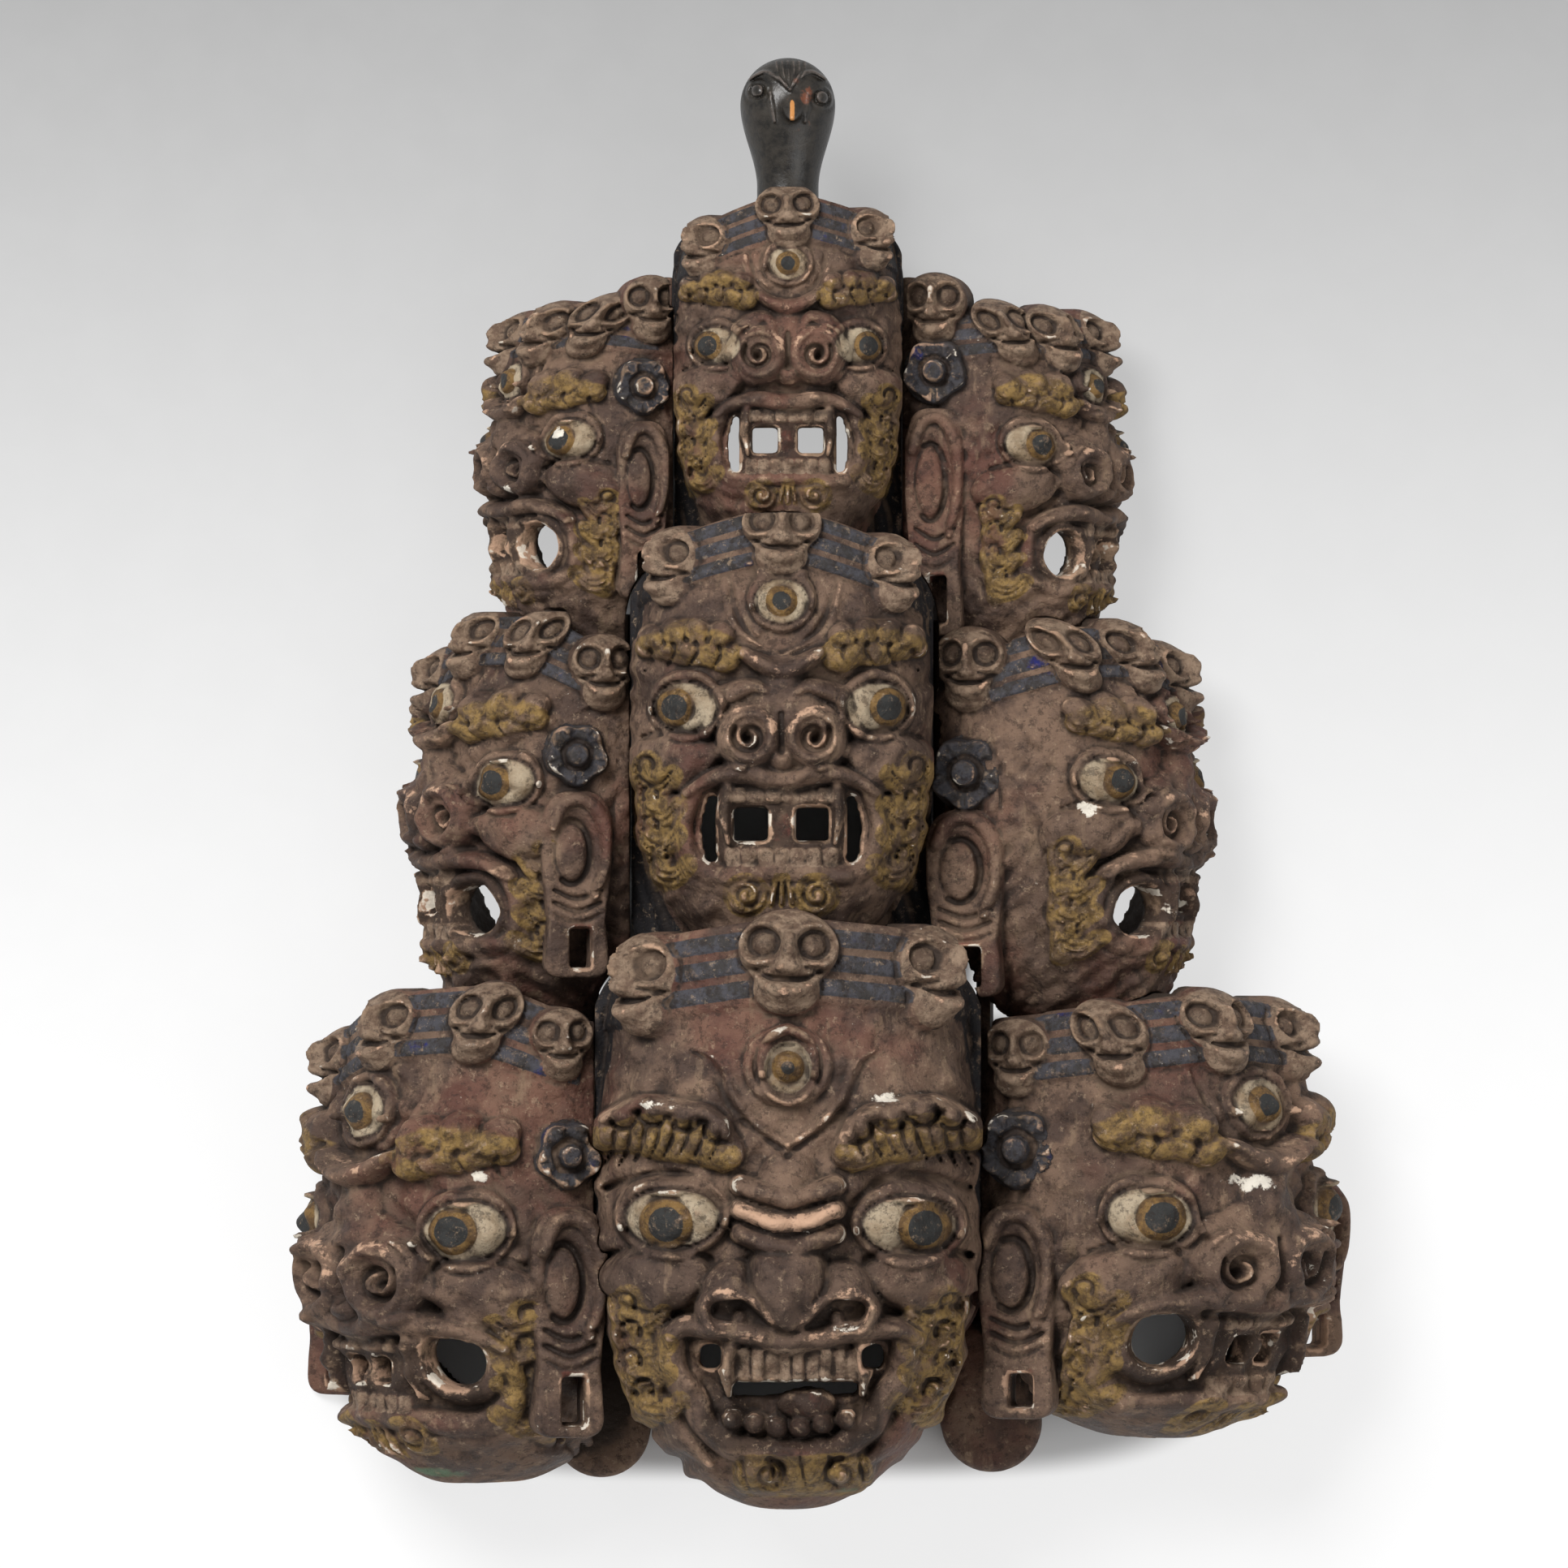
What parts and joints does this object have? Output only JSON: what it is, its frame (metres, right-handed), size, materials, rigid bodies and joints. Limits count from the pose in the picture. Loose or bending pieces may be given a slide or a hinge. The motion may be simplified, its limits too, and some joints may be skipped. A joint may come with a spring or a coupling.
{
  "type": "tibetan cham mask",
  "caption": "Carved and painted wooden dance mask: three tiers of three hollow wrathful heads with skull crowns, topped by a black bird's head, lying on its back rim.",
  "frame": {"origin": "middle of the mask's outline, on the surface that its back rim lies on", "axes": "+X across the mask to the viewer's right, +Y from the lowest chins to the bird, +Z out of the faces"},
  "size_m": [0.5994, 0.8226, 0.2581],
  "materials": {
    "painted_wood": "carved softwood under gesso and aged red-brown, ochre and blue paint, dusty, worn to gesso and bare wood on the edges",
    "blackened_wood": "carved wood, blackened and slightly polished, bare at the tip of the beak"
  },
  "bodies": {
    "root": {"head_low_centre": "painted_wood", "head_low_left": "painted_wood", "head_low_right": "painted_wood", "head_mid_centre": "painted_wood", "head_mid_left": "painted_wood", "head_mid_right": "painted_wood", "head_top_centre": "painted_wood", "head_top_left": "painted_wood", "head_top_right": "painted_wood", "bird_finial": "blackened_wood"}
  },
  "joints": []
}
